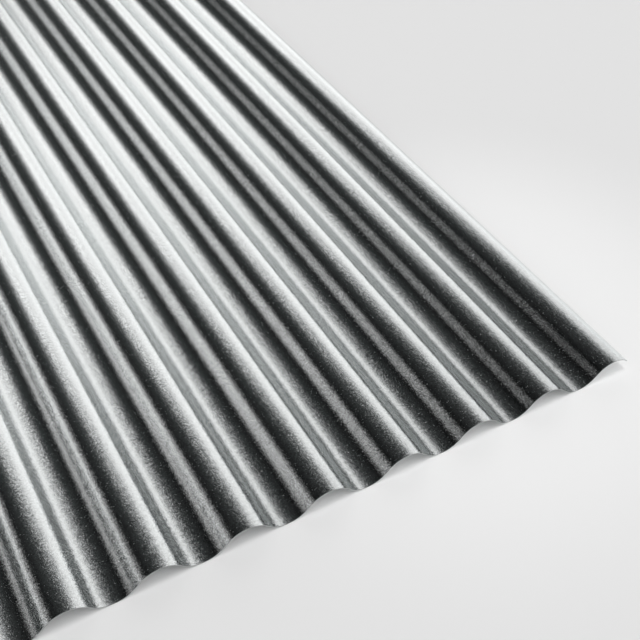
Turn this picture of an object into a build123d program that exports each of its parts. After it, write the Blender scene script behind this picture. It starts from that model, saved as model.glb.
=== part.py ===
from build123d import *
import math
import os

# Corrugated steel sheet for roofs and walls, lying flat on its troughs.
# X runs across the corrugations, Y along the ridges, Z up.
# The origin is on the floor, under the middle of the sheet.

# Driving sizes, in millimetres
pitch = 76.0  # one crest to the next
depth = 18.0  # trough to crest, on the same face of the metal
flat = 5.5  # straight stretch of a flank, between two bends
thickness = 0.75  # the coil that the sheet is rolled from
length = 2000.0  # along the ridges, as sold
waves = 11  # whole corrugations between the two outer crests

# The radius and the slope at which bends and flats join into one smooth wave
bend_radius = ((pitch / 2) ** 2 + depth**2 - flat**2) / (4 * depth)
centre_slope = math.atan2(2 * bend_radius - depth, pitch / 2)
flank_angle = 90 - math.degrees(centre_slope + math.atan2(flat, 2 * bend_radius))

# Heights of the bends' centres, with the trough undersides on the floor
crest_centre = thickness / 2 + depth - bend_radius
trough_centre = thickness / 2 + bend_radius
outer_crest = waves * pitch / 2


def crest_bend(x, lift):
    """The arc over one crest, on the surface that is lift above the middle of the metal."""
    return CenterArc((x, crest_centre), bend_radius + lift, 90 + flank_angle, -2 * flank_angle)


def trough_bend(x, lift):
    """The arc through one trough, on the same surface."""
    return CenterArc((x, trough_centre), bend_radius - lift, 270 - flank_angle, 2 * flank_angle)


def surface_line(lift):
    """One surface of the metal in section. Both ends stop where the outer crests' bends end."""
    edges = [crest_bend(-outer_crest, lift)]
    for wave in range(waves):
        crest = (wave + 1) * pitch - outer_crest
        trough = crest - pitch / 2
        for bend in (trough_bend(trough, lift), crest_bend(crest, lift)):
            edges.append(Line(edges[-1] @ 1, bend @ 0))
            edges.append(bend)
    return edges


def sheet_section():
    """The closed section: two parallel surfaces, cut square at both side edges."""
    under = surface_line(-thickness / 2)
    upper = surface_line(thickness / 2)
    left_cut = Line(under[0] @ 0, upper[0] @ 0)
    right_cut = Line(under[-1] @ 1, upper[-1] @ 1)
    return make_face(Curve() + under + upper + [left_cut, right_cut])


sheet = extrude(Plane.XZ * sheet_section(), amount=length / 2, both=True)

os.makedirs("parts", exist_ok=True)
export_step(sheet, "parts/corrugated_sheet.step")
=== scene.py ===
import bmesh
import bpy
import math
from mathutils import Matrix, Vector


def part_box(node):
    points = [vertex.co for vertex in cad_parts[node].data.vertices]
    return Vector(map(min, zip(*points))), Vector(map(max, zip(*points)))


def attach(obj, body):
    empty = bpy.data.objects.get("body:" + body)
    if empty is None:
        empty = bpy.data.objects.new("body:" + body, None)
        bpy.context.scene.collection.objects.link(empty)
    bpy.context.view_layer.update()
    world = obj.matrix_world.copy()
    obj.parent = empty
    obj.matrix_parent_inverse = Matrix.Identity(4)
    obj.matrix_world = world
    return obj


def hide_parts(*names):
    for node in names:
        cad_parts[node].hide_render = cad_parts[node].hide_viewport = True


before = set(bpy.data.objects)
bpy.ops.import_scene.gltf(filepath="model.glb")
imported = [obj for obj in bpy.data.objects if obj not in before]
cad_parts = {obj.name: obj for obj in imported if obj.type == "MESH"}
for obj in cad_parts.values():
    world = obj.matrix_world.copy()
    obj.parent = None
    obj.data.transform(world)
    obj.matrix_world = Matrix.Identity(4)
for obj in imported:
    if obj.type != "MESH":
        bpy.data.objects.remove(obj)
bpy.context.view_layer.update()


class Wire:
    # One node socket that can stand in a sum or a product
    def __init__(self, tree, socket):
        self.tree = tree
        self.socket = socket

    def output(self, name):
        # Another output of the same node
        return Wire(self.tree, self.socket.node.outputs[name])

    def __add__(self, other):
        return self.tree.maths("ADD", self, other)

    def __sub__(self, other):
        return self.tree.maths("SUBTRACT", self, other)

    def __rsub__(self, other):
        return self.tree.maths("SUBTRACT", other, self)

    def __mul__(self, other):
        return self.tree.maths("MULTIPLY", self, other)

    __radd__ = __add__
    __rmul__ = __mul__

    def fade(self, start, end):
        # 0 up to start, 1 from end on, and a smooth step between them
        settings = {"interpolation_type": "SMOOTHSTEP"}
        values = {"Value": self, "From Min": start, "From Max": end}
        if start > end:
            values.update({"From Min": end, "From Max": start, "To Min": 1.0, "To Max": 0.0})
        return self.tree.add("ShaderNodeMapRange", settings, values)


class Tree:
    # Adds nodes to one material or to the world
    def __init__(self, owner):
        owner.use_nodes = True
        self.nodes = owner.node_tree.nodes
        self.links = owner.node_tree.links
        self.nodes.clear()

    def add(self, kind, settings=None, values=None, output=0):
        node = self.nodes.new(kind)
        for name, value in (settings or {}).items():
            setattr(node, name, value)
        for name, value in (values or {}).items():
            if isinstance(value, Wire):
                self.links.new(value.socket, node.inputs[name])
            else:
                node.inputs[name].default_value = value
        if node.outputs:
            return Wire(self, node.outputs[output])

    def maths(self, operation, *values):
        return self.add("ShaderNodeMath", {"operation": operation}, dict(enumerate(values)))

    def vectorMaths(self, operation, values, output=0):
        return self.add("ShaderNodeVectorMath", {"operation": operation}, values, output)

    def mixColour(self, factor, first, second):
        # A Mix node has sockets for each kind of data: 6, 7 and 2 are the colours
        return self.add("ShaderNodeMix", {"data_type": "RGBA"}, {0: factor, 6: first, 7: second}, 2)

    def finish(self, kind, shader):
        self.add(kind, values={"Surface": shader})


# The sheet, in metres

sheet = {
    "node": "corrugated_sheet",
    "pitch": 0.076,
    "depth": 0.018,
    "flat": 0.0055,
    "thickness": 0.00075,
    "waves": 11,
    "bendSteps": 28,
    "flatSteps": 2,
    "rows": 16,
}


def waveShape():
    # The bends' radius and slope, and the heights of the centres of crests and troughs
    s = sheet
    halfPitch = s["pitch"] / 2
    radius = (halfPitch**2 + s["depth"] ** 2 - s["flat"] ** 2) / (4 * s["depth"])
    slope = math.pi / 2 - math.atan2(2 * radius - s["depth"], halfPitch) - math.atan2(s["flat"], 2 * radius)
    middle = s["thickness"] / 2
    return radius, slope, middle + s["depth"] - radius, middle + radius


def drawWave(bm, startY):
    # The middle line of the section, from the left edge to the right one
    s = sheet
    radius, slope, crestCentre, troughCentre = waveShape()
    firstCrest = -s["waves"] * s["pitch"] / 2
    tip = (firstCrest - radius * math.sin(slope), startY, crestCentre + radius * math.cos(slope))
    last = bmesh.ops.create_vert(bm, co=tip)["vert"][0]

    def bend(vert, x, z, turn):
        # An arc about a centre: a positive turn goes over a crest, a negative one through a trough
        arc = bmesh.ops.spin(
            bm, geom=[vert], cent=(x, startY, z), axis=(0, 1, 0), angle=turn, steps=s["bendSteps"]
        )
        return next(v for v in arc["geom_last"] if isinstance(v, bmesh.types.BMVert))

    def straight(vert, rise):
        # A flank between two bends, down for -1 and up for 1
        step = Vector((math.cos(slope), 0, rise * math.sin(slope))) * (s["flat"] / s["flatSteps"])
        for _ in range(s["flatSteps"]):
            vert = bmesh.ops.extrude_vert_indiv(bm, verts=[vert])["verts"][0]
            bmesh.ops.translate(bm, verts=[vert], vec=step)
        return vert

    last = bend(last, firstCrest, crestCentre, 2 * slope)
    for wave in range(s["waves"]):
        crest = firstCrest + wave * s["pitch"]
        last = straight(last, -1)
        last = bend(last, crest + s["pitch"] / 2, troughCentre, -2 * slope)
        last = straight(last, 1)
        last = bend(last, crest + s["pitch"], crestCentre, 2 * slope)


def alongSheet(element):
    middle = sum((v.co for v in element.verts), Vector()) / len(element.verts)
    return middle.y * 1000 + middle.x


def rollSheet():
    s = sheet
    low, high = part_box(s["node"])
    bm = bmesh.new()
    drawWave(bm, low.y)
    step = (0, (high.y - low.y) / s["rows"], 0)
    edges = bm.edges[:]
    for _ in range(s["rows"]):
        grown = bmesh.ops.extrude_edge_only(bm, edges=edges)["geom"]
        ends = {g for g in grown if isinstance(g, bmesh.types.BMVert)}
        bmesh.ops.translate(bm, verts=list(ends), vec=step)
        edges = [g for g in grown if isinstance(g, bmesh.types.BMEdge) and set(g.verts) <= ends]
    # Extruding leaves edges and faces in a new order each run, so they are put in order
    for elements in (bm.edges, bm.faces):
        elements.sort(key=alongSheet)
        elements.index_update()
    bmesh.ops.recalc_face_normals(bm, faces=bm.faces)
    if sum(f.normal.z for f in bm.faces) < 0:
        bmesh.ops.reverse_faces(bm, faces=bm.faces)
    for face in bm.faces:
        face.smooth = True
    for edge in bm.edges:
        edge.smooth = not edge.is_boundary

    mesh = bpy.data.meshes.new("galvanised_sheet")
    bm.to_mesh(mesh)
    bm.free()
    piece = bpy.data.objects.new("galvanised_sheet", mesh)
    bpy.context.scene.collection.objects.link(piece)
    # The wall grows both ways from the middle line, and its rim takes the cut edge's material
    wall = piece.modifiers.new("thickness", "SOLIDIFY")
    wall.thickness = s["thickness"]
    wall.offset = 0
    wall.material_offset_rim = 1
    return piece


# The finishes

zinc = {
    "darker": (0.74, 0.77, 0.77, 1),
    "paler": (0.80, 0.83, 0.83, 1),
    "roughness": 0.12,
    "grains": ((1000, 0.06), (2600, 0.17)),
    "speck": 520.0,
    "speckDetail": 3.0,
    "speckRoughness": 0.8,
    "paleSpecks": (0.25, 0.75),
    "mattSpecks": (0.5, 0.8),
    "speckDepth": 0.22,
    "cloud": 9.0,
    "cloudDetail": 3.0,
    "cloudDepth": 0.04,
}


def zincCoat():
    material = bpy.data.materials.new("zinc_coat")
    tree = Tree(material)
    place = tree.add("ShaderNodeTexCoord", output="Object")
    mapped = tree.add("ShaderNodeMapping", values={"Vector": place})
    cloud = tree.add(
        "ShaderNodeTexNoise",
        values={"Vector": mapped, "Scale": zinc["cloud"], "Detail": zinc["cloudDetail"]},
    )
    # Each grain of zinc leans its own way, the small ones the most
    leaning = tree.add("ShaderNodeNewGeometry", output="Normal")
    for scale, tilt in zinc["grains"]:
        cells = tree.add("ShaderNodeTexVoronoi", values={"Vector": mapped, "Scale": scale}, output="Color")
        lean = tree.vectorMaths("SUBTRACT", {0: cells, 1: (0.5, 0.5, 0.5)})
        lean = tree.vectorMaths("SCALE", {0: lean, "Scale": tilt})
        leaning = tree.vectorMaths("ADD", {0: leaning, 1: lean})
    leaning = tree.vectorMaths("NORMALIZE", {0: leaning})
    specks = tree.add(
        "ShaderNodeTexNoise",
        values={
            "Vector": mapped,
            "Scale": zinc["speck"],
            "Detail": zinc["speckDetail"],
            "Roughness": zinc["speckRoughness"],
        },
    )
    matt = specks.fade(*zinc["mattSpecks"])
    roughness = zinc["roughness"] + (cloud - 0.5) * zinc["cloudDepth"] + matt * zinc["speckDepth"]
    shader = tree.add(
        "ShaderNodeBsdfPrincipled",
        values={
            "Base Color": tree.mixColour(specks.fade(*zinc["paleSpecks"]), zinc["darker"], zinc["paler"]),
            "Metallic": 1.0,
            "Roughness": roughness,
            "Normal": leaning,
        },
    )
    tree.finish("ShaderNodeOutputMaterial", shader)
    return material


cut = {
    "colour": (0.30, 0.31, 0.31, 1),
    "smeared": (0.46, 0.47, 0.47, 1),
    "streaks": (900, 900, 60),
    "streakDetail": 2.0,
    "smearedStreaks": (0.35, 0.65),
    "bumpStrength": 0.3,
    "bumpDistance": 0.0002,
    "roughness": 0.34,
    "roughnessDepth": 0.16,
}


def cutEdge():
    material = bpy.data.materials.new("sheared_edge")
    tree = Tree(material)
    place = tree.add("ShaderNodeTexCoord", output="Object")
    # Fine streaks across the thickness, with zinc smeared over the steel
    mapped = tree.add("ShaderNodeMapping", values={"Vector": place, "Scale": cut["streaks"]})
    streaks = tree.add(
        "ShaderNodeTexNoise",
        values={"Vector": mapped, "Scale": 1.0, "Detail": cut["streakDetail"]},
    )
    height = tree.add(
        "ShaderNodeBump",
        values={"Strength": cut["bumpStrength"], "Distance": cut["bumpDistance"], "Height": streaks},
    )
    shader = tree.add(
        "ShaderNodeBsdfPrincipled",
        values={
            "Base Color": tree.mixColour(
                streaks.fade(*cut["smearedStreaks"]), cut["colour"], cut["smeared"]
            ),
            "Metallic": 1.0,
            "Roughness": cut["roughness"] + (streaks - 0.5) * cut["roughnessDepth"],
            "Normal": height,
        },
    )
    tree.finish("ShaderNodeOutputMaterial", shader)
    return material


piece = rollSheet()
piece.data.materials.append(zincCoat())
piece.data.materials.append(cutEdge())
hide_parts(sheet["node"])
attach(piece, "root")
print("sheet rolled:", len(piece.data.vertices), "vertices")


# The floor, with a pool of light painted into its colour beside the near right corner

ground = {
    "size": 60.0,
    "colour": (0.846, 0.846, 0.846, 1),
    # A painted pool of light: its paler colour, its centre and the distances over which it fades out
    "paintedLightPool": (0.97, 0.97, 0.97, 1),
    "paintedLightPlace": (0.337, -0.875, 0),
    "paintedLightReach": (0.384, 0.136),
    "roughness": 0.6,
}


def layFloor():
    bm = bmesh.new()
    bmesh.ops.create_grid(bm, x_segments=1, y_segments=1, size=ground["size"] / 2)
    mesh = bpy.data.meshes.new("floor")
    bm.to_mesh(mesh)
    bm.free()
    floor = bpy.data.objects.new("floor", mesh)
    bpy.context.scene.collection.objects.link(floor)
    material = bpy.data.materials.new("pale_floor")
    tree = Tree(material)
    place = tree.add("ShaderNodeTexCoord", output="Object")
    # Painted light: the floor's colour turns paler near the corner, standing in for a pool of light there
    gap = tree.vectorMaths("DISTANCE", {0: place, 1: ground["paintedLightPlace"]}, "Value")
    colour = tree.mixColour(gap.fade(*ground["paintedLightReach"]), ground["colour"], ground["paintedLightPool"])
    shader = tree.add(
        "ShaderNodeBsdfPrincipled",
        values={"Base Color": colour, "Roughness": ground["roughness"]},
    )
    tree.finish("ShaderNodeOutputMaterial", shader)
    mesh.materials.append(material)


# The light all around: a level for each part of it, and the steps over which it fades in.
# The steps are in degrees, apart from y, which is the direction's own. Turn goes round from the far end to
# the right, height up from the floor, side from straight up to the right, and away is side without its sign.
# Lean shifts the window's left edge as it rises, and a dim or a gap takes its share from a light.

lights = {
    "lean": (17, (("height", 18.5, 34),)),
    "window": (1.022, (("leaning", 8, 30), ("turn", 150, 125), ("height", 54, 22))),
    "windowDim": (0.588, (("turn", 43.5, 79),)),
    "strip": (0.616, (("turn", 5, 15), ("turn", 33, 17), ("height", 14, 29), ("height", 50, 34))),
    "left": (1.16, (("side", -46, -84), ("turn", -17, -32), ("turn", -75, -38))),
    "between": (0.06, (("turn", -62, 11), ("turn", 120, 90), ("height", 73, 44))),
    "haze": (0.37, (("height", 14, 2),)),
    "right": (0.5, (("turn", 78, 92), ("turn", 140, 115), ("height", 8, 25), ("height", 65, 50))),
    "top": (8.5, (("height", 76, 86),)),
    "behind": (1.5, (("y", 0.15, -0.2), ("height", 2, 14), ("away", 84, 74))),
    "behindGap": (1.0, (("away", 26, 14), ("height", 58, 46))),
    "behindDim": (0.5, (("side", 0, -30),)),
    "horizon": (0.5, (("height", 17, 7),)),
}
tints = {
    "warm": (1.02, 1.0, 0.998),
    "cool": (0.93, 1.0, 1.0),
    "plain": (1.0, 1.0, 1.0),
}


def lightRoom():
    world = bpy.data.worlds.new("studio")
    bpy.context.scene.world = world
    tree = Tree(world)
    direction = tree.add("ShaderNodeTexCoord", output="Generated")
    axes = tree.add("ShaderNodeSeparateXYZ", values={"Vector": direction})
    x, y, z = axes.output("X"), axes.output("Y"), axes.output("Z")
    side = math.degrees(1) * tree.maths("ARCTAN2", x, z)
    angles = {
        "turn": math.degrees(1) * tree.maths("ARCTAN2", x, y),
        "height": math.degrees(1) * tree.maths("ARCSINE", z),
        "side": side,
        "away": tree.maths("ABSOLUTE", side),
        "y": y,
    }

    def shine(name):
        level, fades = lights[name]
        for angle, start, end in fades:
            level = angles[angle].fade(start, end) * level
        return level

    # The window, the strip in it, the left, between and the haze are what the waves mirror to the camera
    angles["leaning"] = angles["turn"] + shine("lean")
    window = shine("window") * (1 - shine("windowDim"))
    # The right, the top and behind light the floor from where those mirrored directions don't reach
    behind = shine("behind") * (1 - shine("behindGap")) * (1 - shine("behindDim"))
    levels = {
        "warm": window + shine("strip") + shine("left"),
        "cool": shine("between") + shine("haze"),
        "plain": shine("right") + shine("top") + behind,
    }
    total = (0, 0, 0)
    for tint, level in levels.items():
        total = tree.vectorMaths("MULTIPLY_ADD", {0: tints[tint], 1: level, 2: total})
    horizon = tree.vectorMaths("SCALE", {0: tints["plain"], "Scale": shine("horizon")})
    total = tree.vectorMaths("MAXIMUM", {0: total, 1: horizon})
    glow = tree.add("ShaderNodeBackground", values={"Color": total, "Strength": 1.0})
    tree.finish("ShaderNodeOutputWorld", glow)


# The camera: its place in metres, its angles in degrees and its lens in millimetres

view = {
    "place": (-0.1436, -1.4457, 0.7095),
    "down": 43.86,
    "turn": 29.148,
    "lens": 57.94,
    "sensor": 36.0,
}


def placeCamera():
    data = bpy.data.cameras.new("camera")
    data.lens = view["lens"]
    data.sensor_width = view["sensor"]
    camera = bpy.data.objects.new("camera", data)
    bpy.context.scene.collection.objects.link(camera)
    camera.location = view["place"]
    camera.rotation_euler = (math.radians(90 - view["down"]), 0, math.radians(-view["turn"]))
    bpy.context.scene.camera = camera


layFloor()
lightRoom()
placeCamera()
bpy.context.scene.view_settings.view_transform = "Standard"
print("studio ready")
